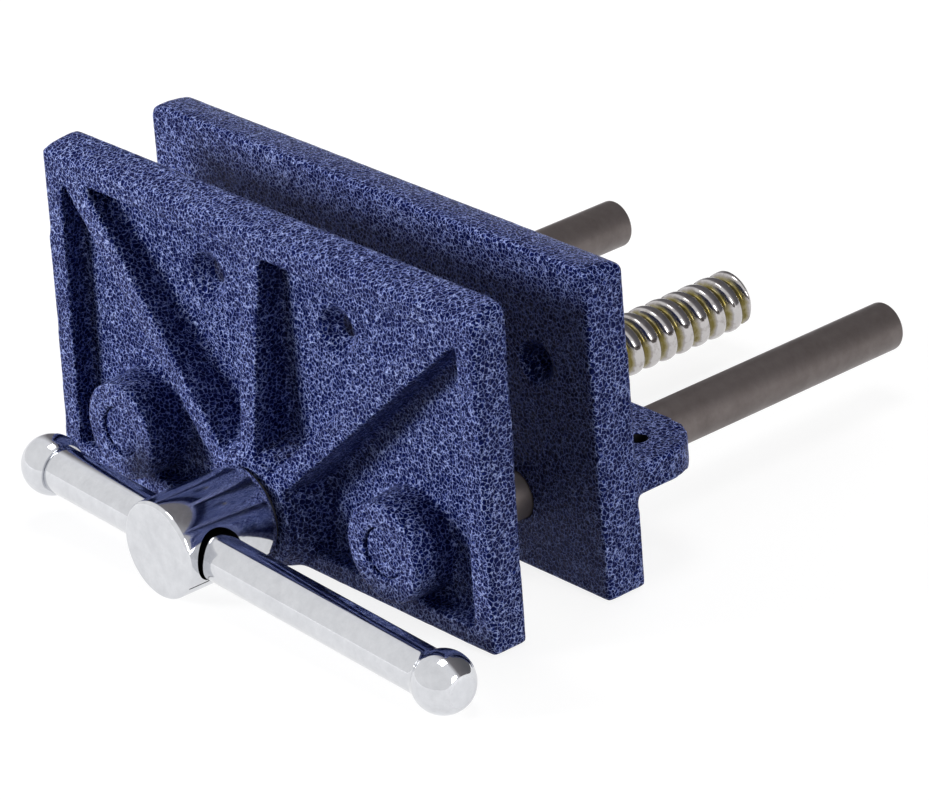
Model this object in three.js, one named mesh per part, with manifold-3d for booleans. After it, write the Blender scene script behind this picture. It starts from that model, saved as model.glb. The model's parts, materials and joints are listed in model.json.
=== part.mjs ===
// Light woodworker's vise for the front edge of a bench, in millimetres, +Z up.
//
// The origin is the bench's lower front corner: it lies on the rear jaw's back face (y = 0), midway
// along the jaws (x = 0) and in the plane of the lug tops (z = 0), where the bench's underside rests.
// +X runs along the jaws to the right, +Y runs from the front jaw into the bench.

import * as THREE from 'three';
import { mergeVertices } from 'three/addons/utils/BufferGeometryUtils.js';
import Module from 'manifold-3d';

const wasm = await Module();
wasm.setup();

// Jaws
const JAW_WIDTH = 165;
const JAW_SIDE_DRAFT = 1.2; // each end leans in by this much at the top
const JAW_DROP = 31; // lug tops down to the jaws' bottom edge
const JAW_CORNER = 4;
const CROWN_STEPS = 4; // straight lengths across a jaw's top
const BENCH_THICKNESS = 54.4; // lug tops up to the rear jaw's gripping edge
const REAR_PLATE = 12;
const REAR_TOP_FALL = 1.8; // the top slopes away from the gripping edge
const FRONT_PLATE = 10.5;
const FRONT_TOP_RISE = 1.3; // the front jaw's gripping edge stands above the rear one
const FRONT_TOP_FALL = 2.8;
const TOE_IN = 0.023; // the front jaw leans towards the rear one, per unit of height
const OPENING = 25.7; // between the jaws' bottom edges, as posed

// Front jaw casting
const SIDE_BORDER = 7.1;
const TOP_BORDER = 5.7;
const BOTTOM_BORDER = 5.7;
const PANEL_DEPTH = 5.8; // from the border down to the sunk panel
const BOSS_RISE = 5.5; // from the border out to the boss and hub faces
const RIB_FOOT_HALF = 4.4;
const RIB_DRAFT = 0.14; // a rib narrows by this much on each side, per unit of height
const RIB_CORNER_INSET = 4; // where a diagonal rib's middle meets the top border, in from the corner
const RIB_OVERRUN = 2.5; // into the border
const ROD_BOSS_RADIUS = 12.7;
const BOSS_DRAFT = 0.8; // a boss is this much larger in radius at its foot
const HUB_RADIUS = 15.4;
const HUB_STEP = 2.7;
const HUB_FOOT_RADIUS = 20;
const LINER_HOLE_RADIUS = 2.5;
const LINER_SINK_RADIUS = 6.5;
const LINER_HOLE_X = 24.5;
const LINER_HOLE_Z = 33;

// Rear jaw casting
const LUG_THICKNESS = 8;
const LUG_REACH = 24;
const LUG_INNER_X = 42;
const LUG_END_INSET = 1.2;
const LUG_OUTER_CORNER = 13;
const LUG_INNER_CORNER = 7;
const LUG_HOLE_RADIUS = 2.5;
const LUG_HOLE_INSET = 12; // in from the lug's outer side
const LUG_HOLE_Y = 11.4;
const GUIDE_BOSS_RADIUS = 11.4;
const GUIDE_BOSS_LENGTH = 22;
const NUT_BOSS_RADIUS = 15;
const NUT_BOSS_LENGTH = 24.5;
const BENCH_HOLE_RADIUS = 2.5; // for screws through the jaw into the bench's edge
const BENCH_SINK_RADIUS = 5.8;
const BENCH_HOLE_X = 61.9;
const BENCH_HOLE_Z = 25.8;

// Guide rods
const ROD_DIAMETER = 12.7;
const ROD_SPACING = 100.6;
const ROD_DROP = 12.4; // lug tops down to the rods' axes
const ROD_REACH = 113.4; // past the rear jaw's back face, as posed
const ROD_RECESS = 0.8; // the front end sits this far inside its boss
const ROD_CHAMFER = 0.8;

// Lead screw
const SCREW_DROP = 17.6; // lug tops down to the screw's axis
const SCREW_DIAMETER = 15.6;
const SCREW_ROOT_DIAMETER = 12.6;
const SCREW_REACH = 107.6;
const PITCH = 5.7; // single start, right-handed
const THREAD_PHASE = 4; // where the crest crosses the top of the screw
const THREAD_FOOT_HALF = 2.15;
const THREAD_CREST_HALF = 1.35;
const THREAD_SIDES = 16; // straight lengths in one turn
const NOSE_DIAMETER = 12;
const NOSE_LENGTH = 9.6;
const NOSE_GAP = 0.3;
const SCREW_CHAMFER = 1;

// Head, washers and collar on the screw
const HEAD_DIAMETER = 25;
const HEAD_LENGTH = 27.1;
const HEAD_CHAMFER = 0.9;
const BAR_SETBACK = 9.3; // the bar's axis behind the head's face
const WASHER_RADIUS = 11.5;
const WASHER_THICKNESS = 1;
const REAR_WASHER_RADIUS = 12;
const REAR_WASHER_THICKNESS = 1.5;
const COLLAR_RADIUS = 11;
const COLLAR_LENGTH = 8;
const SPOTFACE_DEPTH = 0.6;

// Nut in the rear jaw
const NUT_RADIUS = 11;
const NUT_INSET = 3.4; // the nut's front end ahead of the back face
const COUNTERBORE_RADIUS = 12.2;

// Handle
const BAR_DIAMETER = 12;
const BALL_RADIUS = 7.8;
const BALL_LEFT = 53.2; // from the screw's axis out to the left ball's centre, as posed
const BALL_RIGHT = 93.5;
const BALL_FLAT = 4.2; // from the pressed-on ball's centre to its flat shoulder
const BALL_TIP = 6.6; // from the forged ball's centre to its flattened tip
const BALL_SPIGOT_RADIUS = 4;
const BALL_SPIGOT_LENGTH = 6;
const NECK_LENGTH = 2.4;
const BAR_SAG = 0.4; // the bar lies low in its hole
const FLOOR_GAP = 0.1; // under the ball that touches the surface the vise stands on

// Pins
const ROD_PIN_RADIUS = 2;
const HEAD_PIN_RADIUS = 1.5;
const COLLAR_PIN_RADIUS = 2;
const NUT_PIN_RADIUS = 1.8;
const PIN_INSET = 0.4; // below the surface that the pin is driven in from
const PIN_BITE = 3; // past the axis of the piece that the pin holds

// Clearances
const SLIDING_GAP = 0.08;
const TURNING_GAP = 0.3;
const THREAD_GAP = 0.35;
const PRESS_GAP = 0.05;
const SEAT_GAP = 0.05;
const BAR_GAP = 0.7;

// Worked-out places
const JAW_BOTTOM = -JAW_DROP;
const FRONT_BACK_Y = -REAR_PLATE - OPENING; // the front jaw's gripping face at its bottom edge
const FRONT_FACE_Y = FRONT_BACK_Y - FRONT_PLATE;
const PANEL_Y = FRONT_FACE_Y + PANEL_DEPTH;
const BOSS_FACE_Y = FRONT_FACE_Y - BOSS_RISE;
const FRONT_TOP = BENCH_THICKNESS + FRONT_TOP_RISE;
const ROD_Z = -ROD_DROP;
const SCREW_Z = -SCREW_DROP;
const ROD_X = ROD_SPACING / 2;
const ROD_FRONT_Y = BOSS_FACE_Y + ROD_RECESS;
const PANEL_HALF = JAW_WIDTH / 2 - SIDE_BORDER;
const PANEL_TOP = FRONT_TOP - FRONT_TOP_FALL - TOP_BORDER;
const PANEL_BOTTOM = JAW_BOTTOM + BOTTOM_BORDER;
const LUG_OUTER_X = JAW_WIDTH / 2 - LUG_END_INSET;
const LUG_HOLE_X = LUG_OUTER_X - LUG_HOLE_INSET;
const HEAD_REAR_Y = BOSS_FACE_Y - WASHER_THICKNESS - 2 * SEAT_GAP;
const HEAD_FRONT_Y = HEAD_REAR_Y - HEAD_LENGTH;
const BAR_Y = HEAD_FRONT_Y + BAR_SETBACK;
const REAR_SEAT_Y = FRONT_BACK_Y + TOE_IN * (SCREW_Z - JAW_BOTTOM) - SPOTFACE_DEPTH;
const COLLAR_FRONT_Y = REAR_SEAT_Y + REAR_WASHER_THICKNESS + 2 * SEAT_GAP;
const COLLAR_REAR_Y = COLLAR_FRONT_Y + COLLAR_LENGTH;
const NUT_FRONT_Y = -NUT_INSET;
const NUT_REAR_Y = NUT_BOSS_LENGTH;
const BALL_DROP = SCREW_Z - BAR_SAG - BALL_RADIUS - FLOOR_GAP - JAW_BOTTOM;
const HANDLE_TILT = Math.asin(BALL_DROP / BALL_RIGHT); // until the right ball touches the surface
const ROUND_SIDES = 32;

// Booleans

function solid(geometry) {
  const plain = geometry.clone();
  plain.deleteAttribute('normal');
  plain.deleteAttribute('uv');
  const merged = mergeVertices(plain);
  const corners = merged.index.array;
  const triangles = [];
  for (let i = 0; i < corners.length; i += 3) {
    const [a, b, c] = corners.slice(i, i + 3);
    if (a !== b && b !== c && c !== a) triangles.push(a, b, c);
  }
  return new wasm.Manifold(new wasm.Mesh({
    numProp: 3,
    vertProperties: Float32Array.from(merged.attributes.position.array),
    triVerts: Uint32Array.from(triangles),
  }));
}

function surface(body) {
  const mesh = body.getMesh();
  const geometry = new THREE.BufferGeometry();
  geometry.setAttribute('position', new THREE.BufferAttribute(Float32Array.from(mesh.vertProperties), 3));
  geometry.setIndex(new THREE.BufferAttribute(Uint32Array.from(mesh.triVerts), 1));
  geometry.computeVertexNormals();
  return geometry;
}

const joined = (first, ...rest) => rest.reduce((body, next) => body.add(next), first);
const cut = (body, ...tools) => tools.reduce((left, tool) => left.subtract(tool), body);

// Basic shapes, each given by where it starts and ends

function block(x0, x1, y0, y1, z0, z1) {
  const geometry = new THREE.BoxGeometry(x1 - x0, y1 - y0, z1 - z0);
  geometry.translate((x0 + x1) / 2, (y0 + y1) / 2, (z0 + z1) / 2);
  return solid(geometry);
}

// A round bar, or a cone when the two radii differ, along Y.
function round(radius, y0, y1, x, z, rearRadius = radius, sides = ROUND_SIDES) {
  const geometry = new THREE.CylinderGeometry(rearRadius, radius, y1 - y0, sides);
  geometry.translate(x, (y0 + y1) / 2, z);
  return solid(geometry);
}

// A round bar along Z.
function upright(radius, z0, z1, x, y, sides = ROUND_SIDES / 2) {
  const geometry = new THREE.CylinderGeometry(radius, radius, z1 - z0, sides);
  geometry.rotateX(Math.PI / 2);
  geometry.translate(x, y, (z0 + z1) / 2);
  return solid(geometry);
}

// A turned piece along Y with bevelled ends.
function turned(radius, y0, y1, x, z, frontBevel, rearBevel) {
  const profile = [
    new THREE.Vector2(0, y0),
    new THREE.Vector2(radius - frontBevel, y0),
    new THREE.Vector2(radius, y0 + frontBevel),
    new THREE.Vector2(radius, y1 - rearBevel),
    new THREE.Vector2(radius - rearBevel, y1),
    new THREE.Vector2(0, y1),
  ];
  const geometry = new THREE.LatheGeometry(profile, ROUND_SIDES);
  geometry.translate(x, 0, z);
  return solid(geometry);
}

function ring(outer, inner, y0, y1) {
  const hole = round(inner, y0 - 1, y1 + 1, 0, SCREW_Z);
  return cut(round(outer, y0, y1, 0, SCREW_Z), hole);
}

// A flat outline in X and Z, made solid from y0 to y1.
function slab(outline, y0, y1) {
  const geometry = new THREE.ExtrudeGeometry(outline, { depth: y1 - y0, bevelEnabled: false, curveSegments: 4 });
  geometry.rotateX(Math.PI / 2);
  geometry.translate(0, y1, 0);
  return geometry;
}

// A side profile in Y and Z, made solid across the whole jaw.
function crosswise(points) {
  const profile = new THREE.Shape(points.map(([y, z]) => new THREE.Vector2(y, z)));
  const geometry = new THREE.ExtrudeGeometry(profile, { depth: JAW_WIDTH, bevelEnabled: false });
  const turn = new THREE.Matrix4().makeBasis(
    new THREE.Vector3(0, 1, 0),
    new THREE.Vector3(0, 0, 1),
    new THREE.Vector3(1, 0, 0),
  );
  geometry.applyMatrix4(turn);
  geometry.translate(-JAW_WIDTH / 2, 0, 0);
  return geometry;
}

// Tips a shape by the toe-in, keeping the jaw's bottom edge where it is.
function leaned(geometry) {
  geometry.applyMatrix4(new THREE.Matrix4().makeShear(0, 0, 0, 0, 0, TOE_IN));
  geometry.translate(0, -TOE_IN * JAW_BOTTOM, 0);
  return geometry;
}

// Jaw plates

// The jaw seen from the front: a little narrower at the top, with rounded corners.
function jawOutline(top) {
  const half = JAW_WIDTH / 2;
  const topHalf = half - JAW_SIDE_DRAFT;
  const outline = new THREE.Shape();
  outline.moveTo(-half, JAW_BOTTOM);
  outline.lineTo(half, JAW_BOTTOM);
  outline.lineTo(topHalf, top - JAW_CORNER);
  outline.absarc(topHalf - JAW_CORNER, top - JAW_CORNER, JAW_CORNER, 0, Math.PI / 2);
  outline.absarc(JAW_CORNER - topHalf, top - JAW_CORNER, JAW_CORNER, Math.PI / 2, Math.PI);
  return outline;
}

// The top of a jaw, from its gripping edge to its other edge: it falls away ever more steeply.
function crown(gripY, otherY, top, fall) {
  const shares = Array.from({ length: CROWN_STEPS + 1 }, (_, i) => i / CROWN_STEPS);
  return shares.map((share) => [gripY + (otherY - gripY) * share, top - fall * share ** 2]);
}

function plate(gripY, otherY, top, fall, place) {
  const profile = [[otherY, JAW_BOTTOM], [gripY, JAW_BOTTOM], ...crown(gripY, otherY, top, fall)];
  const y0 = Math.min(gripY, otherY);
  const y1 = Math.max(gripY, otherY);
  const outline = solid(place(slab(jawOutline(top), y0 - 1, y1 + 1)));
  return outline.intersect(solid(place(crosswise(profile))));
}

function both(make) {
  return [make(-1), make(1)];
}

// Front jaw

// The sunk panel inside the border, before its ribs and bosses are put back.
function panelRecess() {
  const outline = new THREE.Shape();
  outline.moveTo(-PANEL_HALF, PANEL_BOTTOM);
  outline.lineTo(PANEL_HALF, PANEL_BOTTOM);
  outline.lineTo(PANEL_HALF - JAW_SIDE_DRAFT, PANEL_TOP);
  outline.lineTo(JAW_SIDE_DRAFT - PANEL_HALF, PANEL_TOP);
  return solid(leaned(slab(outline, FRONT_FACE_Y - BOSS_RISE, PANEL_Y)));
}

// A tapered rib from the hub to the border. Its crest falls from the hub's face to the border's.
function rib(towardsX, towardsZ) {
  const start = HUB_RADIUS - 4;
  const reach = Math.hypot(towardsX, towardsZ - SCREW_Z);
  const fall = BOSS_RISE / (reach - start);
  const foot = PANEL_Y + 1;
  const geometry = new THREE.BoxGeometry(1, 1, 1);
  const corner = geometry.attributes.position;
  for (let i = 0; i < corner.count; i += 1) {
    const along = corner.getX(i) > 0 ? reach + RIB_OVERRUN : start;
    const depth = corner.getY(i) > 0 ? foot : BOSS_FACE_Y + fall * (along - start);
    corner.setX(i, along);
    corner.setY(i, depth);
    corner.setZ(i, Math.sign(corner.getZ(i)) * (RIB_FOOT_HALF + RIB_DRAFT * (depth - PANEL_Y)));
  }
  geometry.rotateY(-Math.atan2(towardsZ - SCREW_Z, towardsX));
  geometry.translate(0, 0, SCREW_Z);
  return solid(leaned(geometry));
}

function ribs() {
  const cornerX = PANEL_HALF - JAW_SIDE_DRAFT - RIB_CORNER_INSET;
  return [rib(0, PANEL_TOP), ...both((side) => rib(side * cornerX, PANEL_TOP))];
}

function hub() {
  const stepY = BOSS_FACE_Y + HUB_STEP;
  const disc = round(HUB_RADIUS, BOSS_FACE_Y, PANEL_Y + 1, 0, SCREW_Z);
  const foot = round(HUB_RADIUS + 1, stepY, PANEL_Y + 1, 0, SCREW_Z, HUB_FOOT_RADIUS);
  const below = block(-JAW_WIDTH, JAW_WIDTH, BOSS_FACE_Y - 1, FRONT_BACK_Y, 2 * JAW_BOTTOM, JAW_BOTTOM);
  return cut(joined(disc, foot), below);
}

function rodBoss(side) {
  return round(ROD_BOSS_RADIUS, BOSS_FACE_Y, PANEL_Y + 1, side * ROD_X, ROD_Z, ROD_BOSS_RADIUS + BOSS_DRAFT);
}

// A countersunk hole for a screw, from the face at y0 to beyond the face at y1.
function screwHole(radius, sinkRadius, y0, y1, x, z) {
  const sinkEnd = y0 + sinkRadius - radius;
  return joined(
    round(sinkRadius + 1, y0 - 1, sinkEnd, x, z, radius),
    round(radius, sinkEnd - 1, y1 + 1, x, z),
  );
}

// For a screw that holds a wooden liner on the gripping face.
function linerHole(side) {
  const lean = TOE_IN * (LINER_HOLE_Z - JAW_BOTTOM);
  const x = side * LINER_HOLE_X;
  return screwHole(LINER_HOLE_RADIUS, LINER_SINK_RADIUS, PANEL_Y + lean, FRONT_BACK_Y + lean, x, LINER_HOLE_Z);
}

function rodPinY() {
  return FRONT_FACE_Y + FRONT_PLATE / 2;
}

function frontJaw() {
  const casting = joined(
    cut(plate(FRONT_BACK_Y, FRONT_FACE_Y, FRONT_TOP, FRONT_TOP_FALL, leaned), panelRecess()),
    ...ribs(),
    hub(),
    ...both(rodBoss),
  );
  const front = BOSS_FACE_Y - 1;
  const back = FRONT_BACK_Y + TOE_IN * (FRONT_TOP - JAW_BOTTOM) + 1;
  const rodRadius = ROD_DIAMETER / 2 + PRESS_GAP;
  const pinTop = ROD_Z + PIN_BITE + PIN_INSET;
  return cut(
    casting,
    ...both((side) => round(rodRadius, front, back, side * ROD_X, ROD_Z)),
    ...both((side) => upright(ROD_PIN_RADIUS + PRESS_GAP, JAW_BOTTOM - 1, pinTop, side * ROD_X, rodPinY())),
    ...both(linerHole),
    round(SCREW_DIAMETER / 2 + TURNING_GAP, front, back, 0, SCREW_Z),
    round(REAR_WASHER_RADIUS + TURNING_GAP, REAR_SEAT_Y, back, 0, SCREW_Z),
  );
}

// Rear jaw

// A flat ear behind the jaw, which is screwed up against the bench's underside.
function lug(side) {
  const across = new THREE.Shape();
  across.moveTo(LUG_INNER_X, -1);
  across.lineTo(LUG_OUTER_X, -1);
  const outer = LUG_OUTER_CORNER;
  const inner = LUG_INNER_CORNER;
  across.absarc(LUG_OUTER_X - outer, LUG_REACH - outer, outer, 0, Math.PI / 2);
  across.absarc(LUG_INNER_X + inner, LUG_REACH - inner, inner, Math.PI / 2, Math.PI);
  const outline = new THREE.Shape(across.getPoints(6).map((point) => point.setX(side * point.x)));
  const ear = new THREE.ExtrudeGeometry(outline, { depth: LUG_THICKNESS, bevelEnabled: false });
  ear.translate(0, 0, -LUG_THICKNESS);
  return cut(
    solid(ear),
    upright(LUG_HOLE_RADIUS, -LUG_THICKNESS - 1, 1, side * LUG_HOLE_X, LUG_HOLE_Y),
  );
}

function nutBoss() {
  const boss = round(NUT_BOSS_RADIUS, -1, NUT_BOSS_LENGTH, 0, SCREW_Z);
  const below = block(-JAW_WIDTH, JAW_WIDTH, -2, NUT_BOSS_LENGTH + 1, 2 * JAW_BOTTOM, JAW_BOTTOM);
  return cut(boss, below);
}

function benchHole(side) {
  return screwHole(BENCH_HOLE_RADIUS, BENCH_SINK_RADIUS, -REAR_PLATE, 0, side * BENCH_HOLE_X, BENCH_HOLE_Z);
}

function nutPinY() {
  return NUT_BOSS_LENGTH / 2;
}

function rearJaw() {
  const casting = joined(
    plate(-REAR_PLATE, 0, BENCH_THICKNESS, REAR_TOP_FALL, (geometry) => geometry),
    ...both(lug),
    ...both((side) => round(GUIDE_BOSS_RADIUS, -1, GUIDE_BOSS_LENGTH, side * ROD_X, ROD_Z)),
    nutBoss(),
  );
  const guideRadius = ROD_DIAMETER / 2 + SLIDING_GAP;
  const front = -REAR_PLATE - 1;
  const rear = NUT_BOSS_LENGTH + 1;
  return cut(
    casting,
    ...both((side) => round(guideRadius, front, rear, side * ROD_X, ROD_Z)),
    ...both(benchHole),
    round(COUNTERBORE_RADIUS, front, NUT_FRONT_Y, 0, SCREW_Z),
    round(NUT_RADIUS + PRESS_GAP, front, rear, 0, SCREW_Z),
    upright(NUT_PIN_RADIUS + PRESS_GAP, SCREW_Z, SCREW_Z + NUT_BOSS_RADIUS + 1, 0, nutPinY()),
  );
}

// Thread

// The path of the thread's ridge. Its section keeps one axis pointing away from the screw.
class ThreadPath extends THREE.Curve {
  constructor(y0, y1) {
    super();
    this.y0 = y0;
    this.y1 = y1;
  }

  outward(t) {
    const angle = (2 * Math.PI * (this.y0 + t * (this.y1 - this.y0) - THREAD_PHASE)) / PITCH;
    return new THREE.Vector3(Math.sin(angle), 0, Math.cos(angle));
  }

  getPoint(t, target = new THREE.Vector3()) {
    const y = this.y0 + t * (this.y1 - this.y0);
    return target.copy(this.outward(t)).multiplyScalar(SCREW_ROOT_DIAMETER / 2).setY(y);
  }

  getPointAt(t, target) {
    return this.getPoint(t, target);
  }

  computeFrenetFrames(steps) {
    const places = Array.from({ length: steps + 1 }, (_, i) => i / steps);
    return {
      tangents: places.map(() => new THREE.Vector3()),
      normals: places.map((t) => this.outward(t)),
      binormals: places.map(() => new THREE.Vector3(0, -1, 0)),
    };
  }
}

// The ridge between y0 and y1, grown by a gap on all sides when it cuts the nut.
function threadRidge(y0, y1, gap) {
  const step = PITCH / THREAD_SIDES;
  const first = Math.ceil((y0 - THREAD_PHASE) / step);
  const last = Math.floor((y1 - THREAD_PHASE) / step);
  const path = new ThreadPath(THREAD_PHASE + first * step, THREAD_PHASE + last * step);
  const crest = (SCREW_DIAMETER - SCREW_ROOT_DIAMETER) / 2 + gap;
  const section = new THREE.Shape([
    new THREE.Vector2(-1, -THREAD_FOOT_HALF - gap),
    new THREE.Vector2(0, -THREAD_FOOT_HALF - gap),
    new THREE.Vector2(crest, -THREAD_CREST_HALF - gap),
    new THREE.Vector2(crest, THREAD_CREST_HALF + gap),
    new THREE.Vector2(0, THREAD_FOOT_HALF + gap),
    new THREE.Vector2(-1, THREAD_FOOT_HALF + gap),
  ]);
  const geometry = new THREE.ExtrudeGeometry(section, { steps: last - first, extrudePath: path });
  geometry.translate(0, 0, SCREW_Z);
  return solid(geometry);
}

// Lead screw and what is fixed to it

function headPinY() {
  return HEAD_REAR_Y - NOSE_LENGTH / 2;
}

function collarPinY() {
  return (COLLAR_FRONT_Y + COLLAR_REAR_Y) / 2;
}

function leadScrew() {
  const noseFront = HEAD_REAR_Y - NOSE_LENGTH;
  const journalRear = COLLAR_REAR_Y + 0.5;
  const rootRadius = SCREW_ROOT_DIAMETER / 2;
  const bar = joined(
    round(NOSE_DIAMETER / 2, noseFront, HEAD_REAR_Y + 1, 0, SCREW_Z),
    round(SCREW_DIAMETER / 2, HEAD_REAR_Y + SEAT_GAP, journalRear, 0, SCREW_Z),
    round(rootRadius, journalRear - 1, SCREW_REACH, 0, SCREW_Z, rootRadius, THREAD_SIDES),
    threadRidge(journalRear - 1, SCREW_REACH + PITCH, 0),
  );
  const trimmed = bar.intersect(
    turned(SCREW_DIAMETER / 2 + 0.01, noseFront - 1, SCREW_REACH, 0, SCREW_Z, 0, SCREW_CHAMFER),
  );
  return cut(
    trimmed,
    upright(COLLAR_PIN_RADIUS + PRESS_GAP, SCREW_Z - SCREW_DIAMETER, SCREW_Z + SCREW_DIAMETER, 0, collarPinY()),
    upright(HEAD_PIN_RADIUS + PRESS_GAP, SCREW_Z - SCREW_DIAMETER, SCREW_Z + PIN_INSET, 0, headPinY()),
  );
}

// The chrome head: a plain round with a blind socket for the screw and a cross hole for the bar.
function screwHead() {
  const across = new THREE.CylinderGeometry(
    BAR_DIAMETER / 2 + BAR_GAP, BAR_DIAMETER / 2 + BAR_GAP, 2 * HEAD_DIAMETER, ROUND_SIDES,
  );
  across.rotateZ(Math.PI / 2);
  across.rotateY(HANDLE_TILT);
  across.translate(0, BAR_Y, SCREW_Z);
  const socketFront = HEAD_REAR_Y - NOSE_LENGTH - NOSE_GAP;
  return cut(
    turned(HEAD_DIAMETER / 2, HEAD_FRONT_Y, HEAD_REAR_Y, 0, SCREW_Z, HEAD_CHAMFER, HEAD_CHAMFER / 2),
    solid(across),
    round(NOSE_DIAMETER / 2 + PRESS_GAP, socketFront, HEAD_REAR_Y + 1, 0, SCREW_Z),
    upright(HEAD_PIN_RADIUS + PRESS_GAP, SCREW_Z - HEAD_DIAMETER, SCREW_Z, 0, headPinY()),
  );
}

function retainingCollar() {
  const bore = SCREW_DIAMETER / 2 + PRESS_GAP;
  return cut(
    ring(COLLAR_RADIUS, bore, COLLAR_FRONT_Y, COLLAR_REAR_Y),
    upright(COLLAR_PIN_RADIUS + PRESS_GAP, SCREW_Z - HEAD_DIAMETER, SCREW_Z + HEAD_DIAMETER, 0, collarPinY()),
  );
}

function screwNut() {
  const y0 = NUT_FRONT_Y;
  const y1 = NUT_REAR_Y;
  const rootRadius = SCREW_ROOT_DIAMETER / 2 + THREAD_GAP;
  const wall = NUT_RADIUS - SCREW_DIAMETER / 2 - THREAD_GAP;
  return cut(
    round(NUT_RADIUS, y0, y1, 0, SCREW_Z),
    round(rootRadius, y0 - 1, y1 + 1, 0, SCREW_Z, rootRadius, THREAD_SIDES),
    threadRidge(y0 - PITCH, y1 + PITCH, THREAD_GAP),
    upright(NUT_PIN_RADIUS + PRESS_GAP, SCREW_Z + NUT_RADIUS - wall / 2, SCREW_Z + NUT_BOSS_RADIUS, 0, nutPinY()),
  );
}

// Rods and pins

function guideRod(side) {
  const pinTop = ROD_Z + PIN_BITE + PIN_INSET;
  return cut(
    turned(ROD_DIAMETER / 2, ROD_FRONT_Y, ROD_REACH, side * ROD_X, ROD_Z, ROD_CHAMFER, ROD_CHAMFER),
    upright(ROD_PIN_RADIUS + PRESS_GAP, JAW_BOTTOM, pinTop, side * ROD_X, rodPinY()),
  );
}

function rodPin(side) {
  return upright(ROD_PIN_RADIUS, JAW_BOTTOM + PIN_INSET, ROD_Z + PIN_BITE, side * ROD_X, rodPinY());
}

function collarPin() {
  const half = COLLAR_RADIUS - PIN_INSET;
  return upright(COLLAR_PIN_RADIUS, SCREW_Z - half, SCREW_Z + half, 0, collarPinY());
}

function headPin() {
  const bottom = SCREW_Z - HEAD_DIAMETER / 2 + PIN_INSET;
  return upright(HEAD_PIN_RADIUS, bottom, SCREW_Z - PIN_INSET, 0, headPinY());
}

function nutPin() {
  const wall = NUT_RADIUS - SCREW_DIAMETER / 2 - THREAD_GAP;
  const bottom = SCREW_Z + NUT_RADIUS - wall / 2 + PRESS_GAP;
  return upright(NUT_PIN_RADIUS, bottom, SCREW_Z + NUT_BOSS_RADIUS - PIN_INSET, 0, nutPinY());
}

// Handle, built along X about its own axis and then tilted and set in the head

function alongX(profile) {
  const geometry = new THREE.LatheGeometry(profile, ROUND_SIDES);
  geometry.rotateZ(-Math.PI / 2);
  return solid(geometry);
}

// An arc of a ball's outline, from one angle off the bar's axis to another.
function ballArc(centre, from, to, count) {
  return Array.from({ length: count + 1 }, (_, i) => {
    const angle = from + ((to - from) * i) / count;
    return new THREE.Vector2(BALL_RADIUS * Math.sin(angle), centre + BALL_RADIUS * Math.cos(angle));
  });
}

// The bar with its forged right-hand ball, which runs into the bar through a short neck.
function handleBar() {
  const radius = BAR_DIAMETER / 2;
  const leftEnd = BALL_FLAT - BALL_LEFT + PRESS_GAP;
  const arcStart = Math.PI - Math.asin((radius + BALL_RADIUS) / (2 * BALL_RADIUS));
  const arc = ballArc(BALL_RIGHT, arcStart, Math.acos(BALL_TIP / BALL_RADIUS), 8);
  const profile = [
    new THREE.Vector2(0, leftEnd - BALL_SPIGOT_LENGTH + NOSE_GAP),
    new THREE.Vector2(BALL_SPIGOT_RADIUS, leftEnd - BALL_SPIGOT_LENGTH + NOSE_GAP),
    new THREE.Vector2(BALL_SPIGOT_RADIUS, leftEnd + NOSE_GAP),
    new THREE.Vector2(radius, leftEnd + NOSE_GAP),
    new THREE.Vector2(radius, arc[0].y - NECK_LENGTH),
    ...arc,
    new THREE.Vector2(0, BALL_RIGHT + BALL_TIP),
  ];
  return alongX(profile);
}

// The left-hand ball, with a flat shoulder and a blind socket, pressed on after the bar is through.
function handleBall() {
  const flatRadius = Math.sqrt(BALL_RADIUS ** 2 - BALL_FLAT ** 2);
  const arc = ballArc(-BALL_LEFT, Math.PI, Math.acos(BALL_FLAT / BALL_RADIUS), 9);
  arc[0].x = 0;
  arc[arc.length - 1].x = flatRadius;
  const socket = BALL_SPIGOT_RADIUS + PRESS_GAP;
  const shoulder = BALL_FLAT - BALL_LEFT;
  const socketEnd = shoulder - BALL_SPIGOT_LENGTH - NOSE_GAP;
  return alongX([
    ...arc,
    new THREE.Vector2(socket, shoulder),
    new THREE.Vector2(socket, socketEnd),
    new THREE.Vector2(0, socketEnd),
  ]);
}

// Assembly

const FINISHES = {
  paint: { color: 0x26306b, roughness: 0.45, metalness: 0.1 },
  rodSteel: { color: 0x85796f, roughness: 0.45, metalness: 0.9 },
  plated: { color: 0xb9ae86, roughness: 0.25, metalness: 1 },
  chrome: { color: 0xd8dade, roughness: 0.08, metalness: 1 },
  blackSteel: { color: 0x35363a, roughness: 0.5, metalness: 0.8 },
  bronze: { color: 0xa87d45, roughness: 0.4, metalness: 1 },
};

function piece(name, body, finish) {
  const mesh = new THREE.Mesh(surface(body), new THREE.MeshStandardMaterial(FINISHES[finish]));
  mesh.name = name;
  return mesh;
}

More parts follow.
